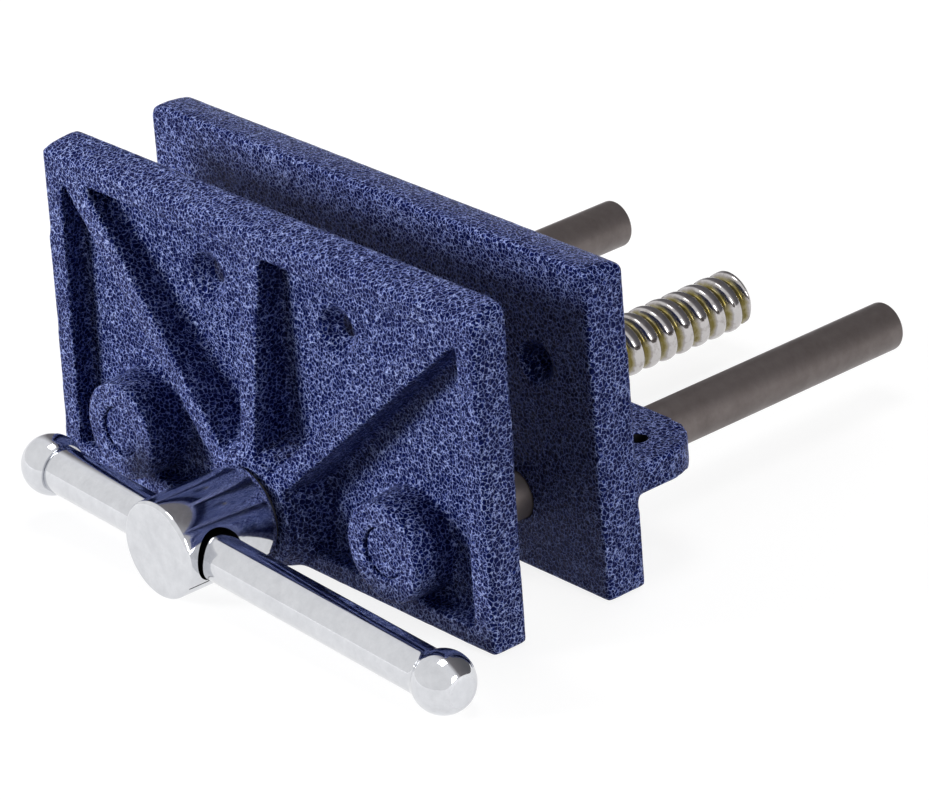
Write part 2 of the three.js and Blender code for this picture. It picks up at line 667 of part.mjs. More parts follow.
const vise = new THREE.Group();
vise.add(
  piece('rear_jaw', rearJaw(), 'paint'),
  piece('screw_nut', screwNut(), 'bronze'),
  piece('nut_pin', nutPin(), 'blackSteel'),
  piece('front_jaw', frontJaw(), 'paint'),
  piece('guide_rod_left', guideRod(-1), 'rodSteel'),
  piece('guide_rod_right', guideRod(1), 'rodSteel'),
  piece('rod_pin_left', rodPin(-1), 'blackSteel'),
  piece('rod_pin_right', rodPin(1), 'blackSteel'),
  piece('front_washer', ring(WASHER_RADIUS, SCREW_DIAMETER / 2 + TURNING_GAP,
    BOSS_FACE_Y - SEAT_GAP - WASHER_THICKNESS, BOSS_FACE_Y - SEAT_GAP), 'blackSteel'),
  piece('rear_washer', ring(REAR_WASHER_RADIUS, SCREW_DIAMETER / 2 + TURNING_GAP,
    REAR_SEAT_Y + SEAT_GAP, REAR_SEAT_Y + SEAT_GAP + REAR_WASHER_THICKNESS), 'blackSteel'),
  piece('lead_screw', leadScrew(), 'plated'),
  piece('screw_head', screwHead(), 'chrome'),
  piece('head_pin', headPin(), 'blackSteel'),
  piece('retaining_collar', retainingCollar(), 'plated'),
  piece('collar_pin', collarPin(), 'blackSteel'),
);

const handle = new THREE.Group();
handle.position.set(0, BAR_Y, SCREW_Z);
handle.rotation.y = HANDLE_TILT;
const lying = new THREE.Group();
lying.position.z = -BAR_SAG;
lying.add(
  piece('handle_bar', handleBar(), 'chrome'),
  piece('handle_ball', handleBall(), 'chrome'),
);
handle.add(lying);
vise.add(handle);

export default vise;
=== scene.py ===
"""Looks of a woodworker's bench vise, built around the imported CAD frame. Metres, +Z up."""

import json
import math

import bmesh
import bpy
import numpy as np
from mathutils import Matrix, Vector, noise


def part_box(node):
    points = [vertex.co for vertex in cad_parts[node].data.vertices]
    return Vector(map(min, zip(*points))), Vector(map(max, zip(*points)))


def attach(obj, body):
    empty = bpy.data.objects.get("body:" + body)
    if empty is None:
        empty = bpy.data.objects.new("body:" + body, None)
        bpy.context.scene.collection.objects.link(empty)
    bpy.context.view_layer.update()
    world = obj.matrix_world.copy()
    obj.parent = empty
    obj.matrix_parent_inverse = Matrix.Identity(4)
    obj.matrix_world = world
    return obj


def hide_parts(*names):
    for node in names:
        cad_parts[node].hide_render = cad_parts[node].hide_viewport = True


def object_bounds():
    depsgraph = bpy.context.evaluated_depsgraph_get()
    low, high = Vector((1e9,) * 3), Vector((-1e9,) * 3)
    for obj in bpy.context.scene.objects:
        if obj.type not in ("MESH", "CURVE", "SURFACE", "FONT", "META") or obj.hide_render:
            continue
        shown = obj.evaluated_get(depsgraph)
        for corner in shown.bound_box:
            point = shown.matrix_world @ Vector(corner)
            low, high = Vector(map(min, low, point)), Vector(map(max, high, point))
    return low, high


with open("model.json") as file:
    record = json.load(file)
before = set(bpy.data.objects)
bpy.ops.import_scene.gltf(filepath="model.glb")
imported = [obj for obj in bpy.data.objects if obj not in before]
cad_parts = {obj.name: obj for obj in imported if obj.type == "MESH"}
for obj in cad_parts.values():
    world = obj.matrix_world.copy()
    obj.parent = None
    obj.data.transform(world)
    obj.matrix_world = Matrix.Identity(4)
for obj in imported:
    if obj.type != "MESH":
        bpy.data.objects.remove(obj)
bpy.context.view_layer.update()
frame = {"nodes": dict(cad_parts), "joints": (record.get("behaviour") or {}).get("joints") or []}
MM = 0.001

# Places and sizes that come from the CAD frame


def low(node):
    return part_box(node)[0]


def high(node):
    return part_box(node)[1]


def middle(node):
    return (low(node) + high(node)) / 2


def radius(node, axis="x"):
    size = high(node) - low(node)
    return getattr(size, axis) / 2


SCREW_Z = middle("screw_head").z
SCREW_R = radius("lead_screw")
SCREW_REAR = high("lead_screw").y
COLLAR_REAR = high("retaining_collar").y
HEAD_R = radius("screw_head")
HEAD_FRONT = low("screw_head").y
HEAD_REAR = high("screw_head").y
ROD_R = radius("guide_rod_right")
ROD_X = middle("guide_rod_right").x
ROD_Z = middle("guide_rod_right").z
BAR_Y = middle("handle_bar").y
BALL_R = radius("handle_ball", "y")
HANDLE_AXIS = Vector(next(j["axis"] for j in frame["joints"] if j["name"] == "handle_slide"))
FLOOR_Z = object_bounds()[0].z

# Sizes of the real pieces that the frame doesn't give

PITCH = 5.7 * MM
THREAD_PHASE = 4 * MM  # where a crest crosses the top of the screw
THREAD_DEPTH = 1.5 * MM
BAR_R = 6 * MM
BAR_SAG = 0.4 * MM
BAR_HOLE_R = 6.7 * MM
BALL_LEFT = 53.2 * MM
BALL_RIGHT = 93.5 * MM
BALL_FLAT = 4.2 * MM
BALL_TIP = 6.6 * MM  # the forged ball's flattened end
LUG_HOLE_R = 2.5 * MM
LUG_HOLE_INSET = 13.2 * MM  # in from the rear jaw's end
LUG_HOLE_X = high("rear_jaw").x - LUG_HOLE_INSET
LUG_HOLE_Y = 11.4 * MM
LUG_THICKNESS = 8 * MM  # from the bench's underside down
SOCKET_DEPTH = 9.9 * MM  # in the head's rear, for the screw's nose
SOCKET_R = 6.05 * MM
NOSE_R = 0.76 * SCREW_R
RUNNING_GAP = 0.3 * MM  # between a washer's bore and the screw
COLLAR_GAP = 0.05 * MM
ROUND = 96  # sides of a round piece


# Node materials

def material(name, **values):
    made = bpy.data.materials.new(name)
    made.use_nodes = True
    shader = made.node_tree.nodes["Principled BSDF"]
    for socket, value in values.items():
        shader.inputs[socket].default_value = value
    return made, made.node_tree, shader


def add(tree, kind, inputs=None, **settings):
    node = tree.nodes.new(kind)
    for name, value in settings.items():
        setattr(node, name, value)
    for name, value in (inputs or {}).items():
        if isinstance(value, bpy.types.NodeSocket):
            tree.links.new(value, node.inputs[name])
        else:
            node.inputs[name].default_value = value
    return node


def ramp(tree, value, stops):
    node = add(tree, "ShaderNodeValToRGB", {"Fac": value})
    points = node.color_ramp.elements
    while len(points) < len(stops):
        points.new(1.0)
    for point, (place, colour) in zip(points, stops):
        point.position = place
        point.color = (*colour, 1.0)
    return node.outputs["Color"]


def object_coordinates(tree):
    return add(tree, "ShaderNodeTexCoord").outputs["Object"]


def warped(tree, place, scale, amount):
    """The place moved about by a soft noise, so that cells and lines lose their regular look."""
    cloud = add(tree, "ShaderNodeTexNoise", {"Vector": place, "Scale": scale, "Detail": 2.0})
    middle_grey = (0.5, 0.5, 0.5)
    centred = add(tree, "ShaderNodeVectorMath", {0: cloud.outputs["Color"], 1: middle_grey},
                  operation="SUBTRACT")
    moved = add(tree, "ShaderNodeVectorMath", {0: centred.outputs[0], "Scale": amount}, operation="SCALE")
    return add(tree, "ShaderNodeVectorMath", {0: place, 1: moved.outputs[0]}, operation="ADD").outputs[0]


def hammered_paint():
    """Blue hammertone enamel: dark cells of about a millimetre in a net of thin lighter veins."""
    made, tree, shader = material("hammered_paint", Metallic=0.15)
    shader.inputs["Specular IOR Level"].default_value = 0.06
    shader.inputs["Specular Tint"].default_value = (0.2, 0.3, 1.0, 1.0)
    shader.inputs["Coat Weight"].default_value = 0.02
    shader.inputs["Coat Roughness"].default_value = 0.1
    place = warped(tree, object_coordinates(tree), 900.0, 1.3 * MM)
    cells = add(tree, "ShaderNodeTexVoronoi", {"Vector": place, "Scale": 900.0},
                feature="DISTANCE_TO_EDGE")
    patches = add(tree, "ShaderNodeTexNoise", {"Vector": place, "Scale": 800.0, "Detail": 2.0,
                                               "Roughness": 0.6})
    broad = add(tree, "ShaderNodeTexNoise", {"Vector": place, "Scale": 28.0, "Detail": 2.0})
    reach = add(tree, "ShaderNodeMapRange", {"Value": patches.outputs["Fac"], "From Min": 0.4,
                                             "From Max": 0.6, "To Min": 0.12, "To Max": 0.31})
    vein = add(tree, "ShaderNodeMapRange", {"Value": cells.outputs["Distance"], "From Min": 0.0,
                                            "From Max": reach.outputs[0], "To Min": 1.0, "To Max": 0.0})
    dark = ramp(tree, vein.outputs[0], [(0.0, (0.002, 0.004, 0.045)), (0.45, (0.004, 0.010, 0.090)),
                                        (0.7, (0.018, 0.036, 0.21)), (1.0, (0.38, 0.46, 0.84))])
    pale = ramp(tree, vein.outputs[0], [(0.0, (0.003, 0.007, 0.062)), (0.45, (0.008, 0.018, 0.130)),
                                        (0.7, (0.032, 0.058, 0.28)), (1.0, (0.56, 0.64, 0.92))])
    colour = add(tree, "ShaderNodeMix", {"Factor": broad.outputs["Fac"], 6: dark, 7: pale},
                 data_type="RGBA")
    tree.links.new(colour.outputs[2], shader.inputs["Base Color"])
    gloss = add(tree, "ShaderNodeMapRange", {"Value": patches.outputs["Fac"], "To Min": 0.22, "To Max": 0.42})
    tree.links.new(gloss.outputs[0], shader.inputs["Roughness"])
    dents = add(tree, "ShaderNodeMath", {0: patches.outputs["Fac"], 1: 3.0}, operation="MULTIPLY")
    height = add(tree, "ShaderNodeMath", {0: vein.outputs[0], 1: dents.outputs[0]}, operation="ADD")
    bump = add(tree, "ShaderNodeBump", {"Height": height.outputs[0], "Strength": 0.9,
                                        "Distance": 0.24 * MM})
    tree.links.new(bump.outputs[0], shader.inputs["Normal"])
    return made


def rod_steel():
    """Ground bar with a thin brown bloom and fine lines along its length."""
    made, tree, shader = material("rod_steel", Metallic=0.75)
    place = object_coordinates(tree)
    stretched = add(tree, "ShaderNodeMapping", {"Vector": place, "Scale": (1.0, 0.05, 1.0)})
    lines = add(tree, "ShaderNodeTexNoise", {"Vector": stretched.outputs[0], "Scale": 2600.0,
                                             "Detail": 3.0})
    bloom = add(tree, "ShaderNodeTexNoise", {"Vector": place, "Scale": 140.0, "Detail": 7.0,
                                             "Roughness": 0.7})
    colour = ramp(tree, bloom.outputs["Fac"], [(0.3, (0.125, 0.105, 0.10)),
                                               (0.7, (0.185, 0.16, 0.155))])
    tree.links.new(colour, shader.inputs["Base Color"])
    gloss = add(tree, "ShaderNodeMapRange", {"Value": bloom.outputs["Fac"], "From Min": 0.3,
                                             "From Max": 0.7, "To Min": 0.5, "To Max": 0.4})
    tree.links.new(gloss.outputs[0], shader.inputs["Roughness"])
    bump = add(tree, "ShaderNodeBump", {"Height": lines.outputs["Fac"], "Strength": 0.25,
                                        "Distance": 0.03 * MM})
    tree.links.new(bump.outputs[0], shader.inputs["Normal"])
    return made


def plated_steel():
    """Bright zinc plating over a rolled thread, with yellow passivation left in the grooves."""
    made, tree, shader = material("plated_steel", Metallic=1.0)
    place = object_coordinates(tree)
    apart = add(tree, "ShaderNodeSeparateXYZ", {0: place})
    along = add(tree, "ShaderNodeCombineXYZ", {"X": apart.outputs["X"],
                                               "Z": offset(tree, apart.outputs["Z"], -SCREW_Z)})
    out = add(tree, "ShaderNodeVectorMath", {0: along.outputs[0]}, operation="LENGTH")
    depth = add(tree, "ShaderNodeMapRange", {"Value": out.outputs["Value"],
                                             "From Min": SCREW_R - THREAD_DEPTH,
                                             "From Max": SCREW_R - 0.3 * MM})
    blotch = add(tree, "ShaderNodeTexNoise", {"Vector": place, "Scale": 420.0, "Detail": 4.0,
                                              "Roughness": 0.6})
    mixed = add(tree, "ShaderNodeMapRange", {"Value": blotch.outputs["Fac"], "From Min": 0.3,
                                             "From Max": 0.7, "To Min": -0.25, "To Max": 0.25})
    level = add(tree, "ShaderNodeMath", {0: depth.outputs[0], 1: mixed.outputs[0]}, operation="ADD")
    colour = ramp(tree, level.outputs[0], [(0.0, (0.16, 0.13, 0.04)), (0.35, (0.29, 0.26, 0.17)),
                                           (0.75, (0.36, 0.335, 0.33)), (1.0, (0.52, 0.50, 0.50))])
    tree.links.new(colour, shader.inputs["Base Color"])
    gloss = add(tree, "ShaderNodeMapRange", {"Value": level.outputs[0], "To Min": 0.32, "To Max": 0.12})
    tree.links.new(gloss.outputs[0], shader.inputs["Roughness"])
    bump = add(tree, "ShaderNodeBump", {"Height": blotch.outputs["Fac"], "Strength": 0.25,
                                        "Distance": 0.08 * MM})
    tree.links.new(bump.outputs[0], shader.inputs["Normal"])
    return made


def offset(tree, value, amount):
    return add(tree, "ShaderNodeMath", {0: value, 1: amount}, operation="ADD").outputs[0]


def chrome(name, smoothest, roughest):
    """Bright plating with faint ripples and hair scratches."""
    made, tree, shader = material(name, Metallic=1.0)
    place = object_coordinates(tree)
    wear = add(tree, "ShaderNodeTexNoise", {"Vector": place, "Scale": 240.0, "Detail": 6.0,
                                            "Roughness": 0.7})
    colour = ramp(tree, wear.outputs["Fac"], [(0.3, (0.60, 0.61, 0.64)), (0.7, (0.70, 0.71, 0.74))])
    tree.links.new(colour, shader.inputs["Base Color"])
    gloss = add(tree, "ShaderNodeMapRange", {"Value": wear.outputs["Fac"], "From Min": 0.3,
                                             "From Max": 0.75, "To Min": smoothest, "To Max": roughest})
    tree.links.new(gloss.outputs[0], shader.inputs["Roughness"])
    ripple = add(tree, "ShaderNodeTexNoise", {"Vector": place, "Scale": 130.0, "Detail": 1.0})
    bump = add(tree, "ShaderNodeBump", {"Height": ripple.outputs["Fac"], "Strength": 0.10,
                                        "Distance": 0.1 * MM})
    tree.links.new(bump.outputs[0], shader.inputs["Normal"])
    return made


def dark_metal(name, dark, light, roughness):
    """A dull metal with a mottled surface, for pins, washers and the nut. A near-black copy gives the walls
    of drilled holes a bare-metal look with painted shade.
    """
    made, tree, shader = material(name, Metallic=0.9, Roughness=roughness)
    place = object_coordinates(tree)
    mottle = add(tree, "ShaderNodeTexNoise", {"Vector": place, "Scale": 600.0, "Detail": 5.0,
                                              "Roughness": 0.7})
    colour = ramp(tree, mottle.outputs["Fac"], [(0.3, dark), (0.7, light)])
    tree.links.new(colour, shader.inputs["Base Color"])
    bump = add(tree, "ShaderNodeBump", {"Height": mottle.outputs["Fac"], "Strength": 0.3,
                                        "Distance": 0.06 * MM})
    tree.links.new(bump.outputs[0], shader.inputs["Normal"])
    return made


# Meshes

def finished(name, mesh_or_bmesh, body, nodes, look, sharp=35):
    """Makes the piece that stands for some CAD nodes."""
    if isinstance(mesh_or_bmesh, bmesh.types.BMesh):
        mesh = bpy.data.meshes.new(name)
        mesh_or_bmesh.to_mesh(mesh)
        mesh_or_bmesh.free()
    else:
        mesh = mesh_or_bmesh
    mesh.materials.clear()
    mesh.materials.append(look)
    mesh.shade_smooth()
    mesh.set_sharp_from_angle(angle=math.radians(sharp))
    piece = bpy.data.objects.new(name, mesh)
    bpy.context.scene.collection.objects.link(piece)
    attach(piece, body)
    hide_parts(*nodes)
    return piece


def spun(profile, place=Matrix.Identity(4), sides=ROUND):
    """A turned solid. The profile is (radius, distance along the axis) and the axis is local +Y.
    A profile that starts and ends on the axis makes a bar, and any other closes on itself as a ring."""
    made = bmesh.new()
    rings = []
    for r, y in profile:
        if r == 0:
            rings.append([made.verts.new((0, y, 0))])
        else:
            angles = [2 * math.pi * i / sides for i in range(sides)]
            rings.append([made.verts.new((r * math.sin(a), y, r * math.cos(a))) for a in angles])
    closed = profile[0][0] != 0
    pairs = list(zip(rings, rings[1:])) + ([(rings[-1], rings[0])] if closed else [])
    for one, two in pairs:
        for i in range(sides):
            j = (i + 1) % sides
            corners = [one[i % len(one)], one[j % len(one)], two[j % len(two)], two[i % len(two)]]
            made.faces.new(list(dict.fromkeys(corners)))
    made.transform(place)
    bmesh.ops.recalc_face_normals(made, faces=made.faces)
    return made


def arc(centre_r, centre_y, size, start, end, count):
    """Points of a profile on a circle, from one angle to another in degrees. 0 points along the axis."""
    angles = [math.radians(start + (end - start) * i / count) for i in range(count + 1)]
    return [(centre_r + size * math.sin(a), centre_y + size * math.cos(a)) for a in angles]


def bar_profile(r, y0, y1, edge0, edge1):
    """A round bar whose ends have rounded edges."""
    front = arc(r - edge0, y0 + edge0, edge0, 180, 90, 4)
    rear = arc(r - edge1, y1 - edge1, edge1, 90, 0, 4)
    return [(0, y0), *front, *rear, (0, y1)]


def ring_profile(outer, inner, y0, y1, edge):
    """A washer or collar whose four edges are chamfered."""
    return [
        (inner + edge, y0), (outer - edge, y0), (outer, y0 + edge), (outer, y1 - edge),
        (outer - edge, y1), (inner + edge, y1), (inner, y1 - edge), (inner, y0 + edge),
    ]


def on_screw_axis():
    return Matrix.Translation((0, 0, SCREW_Z))


def helper(name, made):
    """An object that a modifier cuts with. with_modifiers removes it afterwards."""
    mesh = bpy.data.meshes.new(name)
    made.to_mesh(mesh)
    made.free()
    tool = bpy.data.objects.new(name, mesh)
    bpy.context.scene.collection.objects.link(tool)
    return tool


def with_modifiers(name, mesh, modifiers):
    """The mesh after some modifiers, each given as (kind, settings). Objects that they used are removed."""
    holder = bpy.data.objects.new(name, mesh)
    bpy.context.scene.collection.objects.link(holder)
    for kind, settings in modifiers:
        modifier = holder.modifiers.new(kind, kind)
        for key, value in settings.items():
            setattr(modifier, key, value)
    depsgraph = bpy.context.evaluated_depsgraph_get()
    result = bpy.data.meshes.new_from_object(holder.evaluated_get(depsgraph))
    for _, settings in modifiers:
        tool = settings.get("object")
        if tool is not None:
            bpy.data.objects.remove(tool)
    bpy.data.objects.remove(holder)
    return result


# Castings

VOXEL = 0.6 * MM
PAINT_ROUNDS = 2  # softening of every edge
FILLET_ROUNDS = 3  # further softening of the inner corners
RIM_ROUNDS = 10  # further softening of the plates' rims
RIM = 2.6 * MM
CASTING_WAVE = 0.06 * MM


def neighbour_mean(values, ends, others, valence):
    """The mean of each vertex's neighbours. The edges are given both ways, as ends and others."""
    columns = [np.bincount(ends, values[others, i], len(values)) for i in range(values.shape[1])]
    return np.stack(columns, 1) / valence


def relaxed(values, around, rounds, weight=1.0):
    """Moves each value towards the mean of its neighbours, by half the way times its weight."""
    for _ in range(rounds):
        values = values + 0.5 * weight * (neighbour_mean(values, *around) - values)
    return values


def at_the_rim(places):
    """1 near the outer edges of the jaw plate that the places lie on, and 0 elsewhere."""
    corner = places.min(0), places.max(0)
    side = np.minimum(places[:, 0] - corner[0][0], corner[1][0] - places[:, 0])
    top = corner[1][2] - places[:, 2]
    bottom = places[:, 2] - corner[0][2]
    return (np.minimum(np.minimum(side - 0.8 * MM, top - 1.5 * MM), bottom) < RIM).astype(float)[:, None]


def softened(mesh):
    """Rounds the casting as a foundry pattern and thick paint do: the inner corners and the rims most."""
    count = len(mesh.vertices)
    places = np.empty(count * 3)
    mesh.vertices.foreach_get("co", places)
    places = places.reshape(-1, 3)
    edges = np.empty(len(mesh.edges) * 2, np.int64)
    mesh.edges.foreach_get("vertices", edges)
    edges = edges.reshape(-1, 2)
    ends = np.concatenate([edges[:, 0], edges[:, 1]])
    around = (ends, np.concatenate([edges[:, 1], edges[:, 0]]), np.bincount(ends, minlength=count)[:, None])
    places = relaxed(places, around, PAINT_ROUNDS)
    normals = put_back(mesh, places)
    hollow = ((neighbour_mean(places, *around) - places) * normals).sum(1, keepdims=True)
    hollow = np.clip(hollow / (0.05 * VOXEL), 0, 1)
    weight = np.clip(2.5 * relaxed(hollow, around, 8), 0, 1)
    places = relaxed(places, around, FILLET_ROUNDS, weight)
    places = relaxed(places, around, RIM_ROUNDS, at_the_rim(places))
    normals = put_back(mesh, places)
    lift = [noise.noise(Vector(p) * 260) + 0.6 * noise.noise(Vector(p) * 620) - 1.2 for p in places]
    put_back(mesh, places + normals * np.array(lift)[:, None] * CASTING_WAVE)
    return mesh


def put_back(mesh, places):
    """Moves the mesh's vertices to the places and returns their normals."""
    mesh.vertices.foreach_set("co", places.astype(np.float32).ravel())
    mesh.update()
    normals = np.empty(len(places) * 3, np.float32)
    mesh.vertex_normals.foreach_get("vector", normals)
    return normals.reshape(-1, 3)


def casting(node, look):
    """The fine surface of a casting, made from its CAD node."""
    source = frame["nodes"][node].data.copy()
    fine = with_modifiers(node + "_fine", source, [("REMESH", {"mode": "VOXEL", "voxel_size": VOXEL})])
    return finished(node + "_casting", softened(fine), node, [node], look, sharp=180)


def rear_jaw_piece(look, bare_wall_shade):
    """The rear jaw. The walls of the drilled lug holes are bare metal, made near-black as painted shade
    inside the holes.
    """
    jaw = casting("rear_jaw", look)
    jaw.data.materials.append(bare_wall_shade)
    for face in jaw.data.polygons:
        x, y, z = face.center
        off_axis = math.hypot(abs(x) - LUG_HOLE_X, y - LUG_HOLE_Y)
        if off_axis < LUG_HOLE_R + 0.2 * MM and -LUG_THICKNESS < z < -0.3 * MM:
            # near-black wall: painted shade inside the lug hole, over a bare-metal look
            face.material_index = 1
    return jaw


# Rods and screw

def guide_rod(side, look, paint):
    """A plain bar. Its front end was painted together with the jaw that it is fixed in."""
    node = "guide_rod_right" if side > 0 else "guide_rod_left"
    front = low(node).y
    profile = bar_profile(ROD_R, front, high(node).y, 0.6 * MM, 0.9 * MM)
    rod = spun(profile, Matrix.Translation((side * ROD_X, 0, ROD_Z)))
    painted = [face.index for face in rod.faces if face.calc_center_median().y < front + 0.7 * MM]
    bar = finished(node + "_bar", rod, "front_jaw", [node], look)
    bar.data.materials.append(paint)
    for index in painted:
        bar.data.polygons[index].material_index = 1
    return bar


CREST_HALF = 1.1 * MM
CREST_CROWN = 0.16 * MM  # how far a crest falls towards its sides
GROOVE_START = 2.4 * MM
THREAD_SIDES = 72
THREAD_RINGS = 22  # in one turn


def thread_fall(y, angle):
    """How far the thread's surface lies below its crest: broad crowned crests between narrow grooves."""
    turns = (y - THREAD_PHASE) / PITCH - angle / (2 * math.pi)
    off_crest = abs(turns - round(turns)) * PITCH
    share = min(max((off_crest - CREST_HALF) / (GROOVE_START - CREST_HALF), 0.0), 1.0)
    crown = CREST_CROWN * min(off_crest / CREST_HALF, 1.0) ** 2
    return crown + (THREAD_DEPTH - crown) * share * share * (3 - 2 * share)


def screw_piece(look):
    """Journal and thread in one piece. The nose inside the head is part of it."""
    made = bmesh.new()
    journal_end = COLLAR_REAR + 0.5 * MM
    chamfer = 1.0 * MM
    rings = math.ceil((SCREW_REAR - journal_end) / PITCH * THREAD_RINGS)
    places = [journal_end + (SCREW_REAR - journal_end) * i / rings for i in range(rings + 1)]
    nose_front = low("lead_screw").y
    nose_rear = HEAD_REAR + 0.1 * MM
    stations = [
        (nose_front, NOSE_R), (nose_front + 9 * MM, NOSE_R), (nose_rear, NOSE_R),
        (nose_rear + 0.05 * MM, SCREW_R), (journal_end - 0.2 * MM, SCREW_R),
    ]
    grid = []
    for y, r in stations:
        grid.append([(y, r)] * THREAD_SIDES)
    for y in places:
        fade = min((y - journal_end) / (0.1 * PITCH), 1.0)
        end = max(0.0, y - (SCREW_REAR - chamfer))
        row = []
        for i in range(THREAD_SIDES):
            r = SCREW_R - fade * thread_fall(y, 2 * math.pi * i / THREAD_SIDES)
            row.append((y, min(r, SCREW_R - end)))
        grid.append(row)
    rows = []
    for row in grid:
        ring = []
        for i, (y, r) in enumerate(row):
            angle = 2 * math.pi * i / THREAD_SIDES
            ring.append(made.verts.new((r * math.sin(angle), y, SCREW_Z + r * math.cos(angle))))
        rows.append(ring)
    for one, two in zip(rows, rows[1:]):
        for i in range(THREAD_SIDES):
            j = (i + 1) % THREAD_SIDES
            made.faces.new((one[i], one[j], two[j], two[i]))
    made.faces.new(rows[0])
    made.faces.new(rows[-1])
    bmesh.ops.recalc_face_normals(made, faces=made.faces)
    return finished("screw_thread", made, "screw", ["lead_screw"], look, sharp=50)


def head_piece(look, bare_wall_shade):
    """The chrome head with its cross hole. The hole's wall is bare metal, made near-black as painted shade
    inside the hole.
    """
    profile = bar_profile(HEAD_R, HEAD_FRONT, HEAD_REAR, 1.0 * MM, 0.5 * MM)
    blank = bpy.data.meshes.new("head_blank")
    made = spun(profile, on_screw_axis(), 160)
    made.to_mesh(blank)
    made.free()
    across = Matrix.Translation((0, BAR_Y, SCREW_Z)) @ along_handle()
    reach = 30 * MM  # past the head on both sides
    hole_profile = [(0, -reach), (BAR_HOLE_R, -reach), (BAR_HOLE_R, reach), (0, reach)]
    hole = helper("cross_hole", spun(hole_profile, across, 128))
    socket_front = HEAD_REAR - SOCKET_DEPTH
    socket_rear = HEAD_REAR + MM
    socket_profile = [(0, socket_front), (SOCKET_R, socket_front), (SOCKET_R, socket_rear), (0, socket_rear)]
    socket = helper("socket", spun(socket_profile, on_screw_axis(), 48))
    mesh = with_modifiers("head", blank, [
        ("BOOLEAN", {"operation": "DIFFERENCE", "solver": "EXACT", "object": hole}),
        ("BOOLEAN", {"operation": "DIFFERENCE", "solver": "EXACT", "object": socket}),
        ("BEVEL", {"width": 0.35 * MM, "segments": 3, "limit_method": "ANGLE",
                   "angle_limit": math.radians(40)}),
    ])
    head = finished("head", mesh, "screw", ["screw_head"], look)
    head.data.materials.append(bare_wall_shade)
    into_hole = across.inverted()
    for face in head.data.polygons:
        inside = into_hole @ face.center
        if math.hypot(inside.x, inside.z) < BAR_HOLE_R + 0.1 * MM:
            # near-black wall: painted shade inside the cross hole, over a bare-metal look
            face.material_index = 1
    return head


# Handle

def along_handle():
    """Turns local +Y, the axis of a turned piece, onto the handle's axis. Local +Z points down."""
    side = Vector((0, 1, 0))
    down = side.cross(HANDLE_AXIS).normalized()
    turn = Matrix((side, HANDLE_AXIS, down)).transposed()
    return turn.to_4x4()


def handle_place():
    """Where the bar lies: along the cross hole's axis and a little below it."""
    sag = along_handle() @ Vector((0, 0, 1))
    down = sag if sag.z < 0 else -sag
    return Matrix.Translation(Vector((0, BAR_Y, SCREW_Z)) + down * BAR_SAG) @ along_handle()


def handle_bar_piece(look, tip_look):
    """The bar with the ball forged on its right end, which has a dull flattened tip and a short neck."""
    shoulder = BALL_FLAT - BALL_LEFT + 0.05 * MM
    neck_angle = 180 - math.degrees(math.asin((BAR_R + BALL_R) / (2 * BALL_R)))
    tip_angle = math.degrees(math.acos(BALL_TIP / BALL_R))
    ball = arc(0, BALL_RIGHT, BALL_R, neck_angle, tip_angle, 18)
    neck_start = ball[0][1] - 2.6 * MM
    neck = []
    for i in range(1, 6):
        t = i / 6
        neck.append((BAR_R + (ball[0][0] - BAR_R) * t * t, neck_start + (ball[0][1] - neck_start) * t))
    tip = BALL_RIGHT + BALL_TIP
    profile = [(0, shoulder), *arc(BAR_R - 0.4 * MM, shoulder + 0.4 * MM, 0.4 * MM, 180, 90, 4),
               (BAR_R, neck_start), *neck, *ball[:-1],
               (ball[-1][0] - 0.15 * MM, tip - 0.05 * MM), (ball[-1][0] - 0.8 * MM, tip), (0, tip)]
    bar = spun(profile)
    tip_faces = [face.index for face in bar.faces if face.calc_center_median().y > tip - 0.03 * MM]
    bar.transform(handle_place())
    piece = finished("handle_rod", bar, "handle", ["handle_bar"], look, sharp=30)
    piece.data.materials.append(tip_look)
    for index in tip_faces:
        piece.data.polygons[index].material_index = 1
    return piece


def handle_ball_piece(look):
    """The pressed-on ball. Its flat shoulder meets the bar's end."""
    shoulder_angle = math.degrees(math.acos(BALL_FLAT / BALL_R))
    ball = arc(0, -BALL_LEFT, BALL_R, 180, shoulder_angle + 3, 22)
    ball[0] = (0, ball[0][1])
    shoulder = BALL_FLAT - BALL_LEFT
    profile = [*ball, (ball[-1][0] - 0.25 * MM, shoulder), (0, shoulder)]
    made = spun(profile, handle_place())
    return finished("end_ball", made, "handle", ["handle_ball"], look, sharp=50)


# Small hidden pieces

def upright(node, body, look):
    """A pin with rounded ends, along Z."""
    edge = 0.3 * MM
    size = high(node) - low(node)
    r = size.x / 2
    turn = Matrix.Rotation(math.radians(90), 4, "X")
    centre = middle(node)
    profile = bar_profile(r, -size.z / 2, size.z / 2, edge, edge)
    return finished(node + "_steel", spun(profile, Matrix.Translation(centre) @ turn, 32), body, [node],
                    look)


def flat_ring(node, inner, body, look, edge):
    profile = ring_profile(radius(node), inner, low(node).y, high(node).y, edge)
    return finished(node + "_ring", spun(profile, on_screw_axis()), body, [node], look)


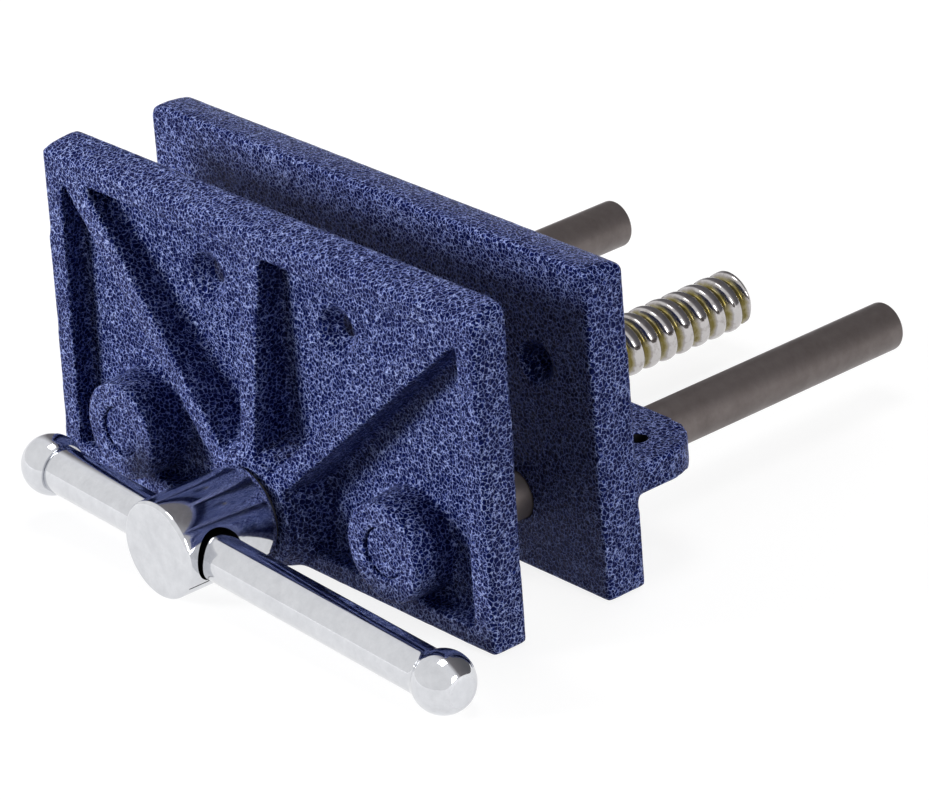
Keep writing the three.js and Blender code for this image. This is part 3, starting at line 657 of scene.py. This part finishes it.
def build():
    paint = hammered_paint()
    rod = rod_steel()
    plating = plated_steel()
    bright = chrome("chrome", 0.04, 0.13)
    satin = chrome("satin_chrome", 0.3, 0.42)
    black = dark_metal("black_steel", (0.03, 0.03, 0.035), (0.10, 0.10, 0.11), 0.45)
    iron = dark_metal("nut_iron", (0.10, 0.09, 0.085), (0.24, 0.22, 0.21), 0.4)
    # near-black bare metal: painted shade inside the drilled holes
    bare_wall_shade = dark_metal("hole_wall_painted_shade", (0.003, 0.003, 0.004), (0.012, 0.012, 0.013), 0.6)
    casting("front_jaw", paint)
    rear_jaw_piece(paint, bare_wall_shade)
    for side in (-1, 1):
        guide_rod(side, rod, paint)
    screw_piece(plating)
    head_piece(bright, bare_wall_shade)
    handle_bar_piece(bright, satin)
    handle_ball_piece(bright)
    for node, body in (("rod_pin_left", "front_jaw"), ("rod_pin_right", "front_jaw"), ("head_pin", "screw"),
                       ("collar_pin", "screw"), ("nut_pin", "rear_jaw")):
        upright(node, body, black)
    flat_ring("front_washer", SCREW_R + RUNNING_GAP, "front_jaw", black, 0.2 * MM)
    flat_ring("rear_washer", SCREW_R + RUNNING_GAP, "front_jaw", black, 0.3 * MM)
    flat_ring("retaining_collar", SCREW_R + COLLAR_GAP, "screw", plating, 0.5 * MM)
    nut = frame["nodes"]["screw_nut"]
    nut.data.materials.clear()
    nut.data.materials.append(iron)


# Camera, floor and light

CAMERA_AZIMUTH = math.radians(50.880)
CAMERA_ELEVATION = math.radians(25.205)
CAMERA_ROLL = math.radians(-4.499)
CAMERA_DISTANCE = 1302.8 * MM
CAMERA_TARGET = Vector((0, -10.586 * MM, 11.329 * MM))
CAMERA_SLIDE = (-21.68 * MM, 13.556 * MM)
LENS_MM = 207.53


def camera():
    a, e, roll = CAMERA_AZIMUTH, CAMERA_ELEVATION, CAMERA_ROLL
    ahead = Vector((-math.sin(a) * math.cos(e), math.cos(a) * math.cos(e), -math.sin(e)))
    level = Vector((math.cos(a), math.sin(a), 0))
    upward = level.cross(ahead)
    right = math.cos(roll) * level + math.sin(roll) * upward
    top = -math.sin(roll) * level + math.cos(roll) * upward
    place = CAMERA_TARGET - ahead * CAMERA_DISTANCE - right * CAMERA_SLIDE[0] - top * CAMERA_SLIDE[1]
    data = bpy.data.cameras.new("camera")
    data.lens = LENS_MM
    data.sensor_width = 36
    data.clip_start = 0.05
    made = bpy.data.objects.new("camera", data)
    bpy.context.scene.collection.objects.link(made)
    made.matrix_world = Matrix.Translation(place) @ Matrix((right, top, -ahead)).transposed().to_4x4()
    bpy.context.scene.camera = made


def floor():
    made, _, shader = material("paper", Roughness=0.9)
    shader.inputs["Base Color"].default_value = (0.2, 0.2, 0.2, 1)
    shader.inputs["Emission Color"].default_value = (1, 1, 1, 1)
    shader.inputs["Emission Strength"].default_value = 0.85
    bm = bmesh.new()
    bmesh.ops.create_grid(bm, x_segments=1, y_segments=1, size=60)
    bm.transform(Matrix.Translation((0, 0, FLOOR_Z - 0.05 * MM)))
    mesh = bpy.data.meshes.new("floor")
    bm.to_mesh(mesh)
    bm.free()
    mesh.materials.append(made)
    plane = bpy.data.objects.new("floor", mesh)
    bpy.context.scene.collection.objects.link(plane)
    plane.visible_diffuse = False  # its brightness shows in the chrome and doesn't wash out the paint


def softbox(name, place, size, power, mirrored=True):
    data = bpy.data.lights.new(name, "AREA")
    data.shape = "RECTANGLE"
    data.size, data.size_y = size
    data.energy = power
    lamp = bpy.data.objects.new(name, data)
    bpy.context.scene.collection.objects.link(lamp)
    lamp.location = place
    lamp.rotation_euler = (-Vector(place)).to_track_quat("-Z", "Y").to_euler()
    lamp.visible_glossy = mirrored


def studio():
    """White walls that only polished surfaces pick up, with darkness behind the vise."""
    world = bpy.data.worlds.new("studio")
    bpy.context.scene.world = world
    world.use_nodes = True
    world.cycles_visibility.diffuse = False
    tree = world.node_tree
    direction = add(tree, "ShaderNodeTexCoord").outputs["Generated"]
    apart = add(tree, "ShaderNodeSeparateXYZ", {0: direction})
    raised = add(tree, "ShaderNodeMath", {0: apart.outputs["Z"], 1: 0.2}, operation="MULTIPLY")
    behind = add(tree, "ShaderNodeMath", {0: apart.outputs["Y"], 1: raised.outputs[0]}, operation="ADD")
    walls = ramp(tree, behind.outputs[0], [(0.0, (0.95, 0.95, 0.95)), (0.35, (0.9, 0.9, 0.92)),
                                           (0.55, (0.2, 0.19, 0.2)), (1.0, (0.12, 0.12, 0.13))])
    tree.links.new(walls, tree.nodes["Background"].inputs["Color"])


def lights():
    studio()
    softbox("key", (-0.9, -1.25, 0.4), (0.5, 0.5), 33, mirrored=False)
    softbox("top", (0, 0.05, 1.4), (0.5, 0.5), 5)
    softbox("rim", (1.3, 0.1, 0.4), (0.4, 0.6), 10)
    softbox("back", (-0.5, 1.3, 0.7), (0.8, 0.8), 10, mirrored=False)
    bpy.context.scene.view_settings.view_transform = "Standard"


camera()
floor()
lights()
build()
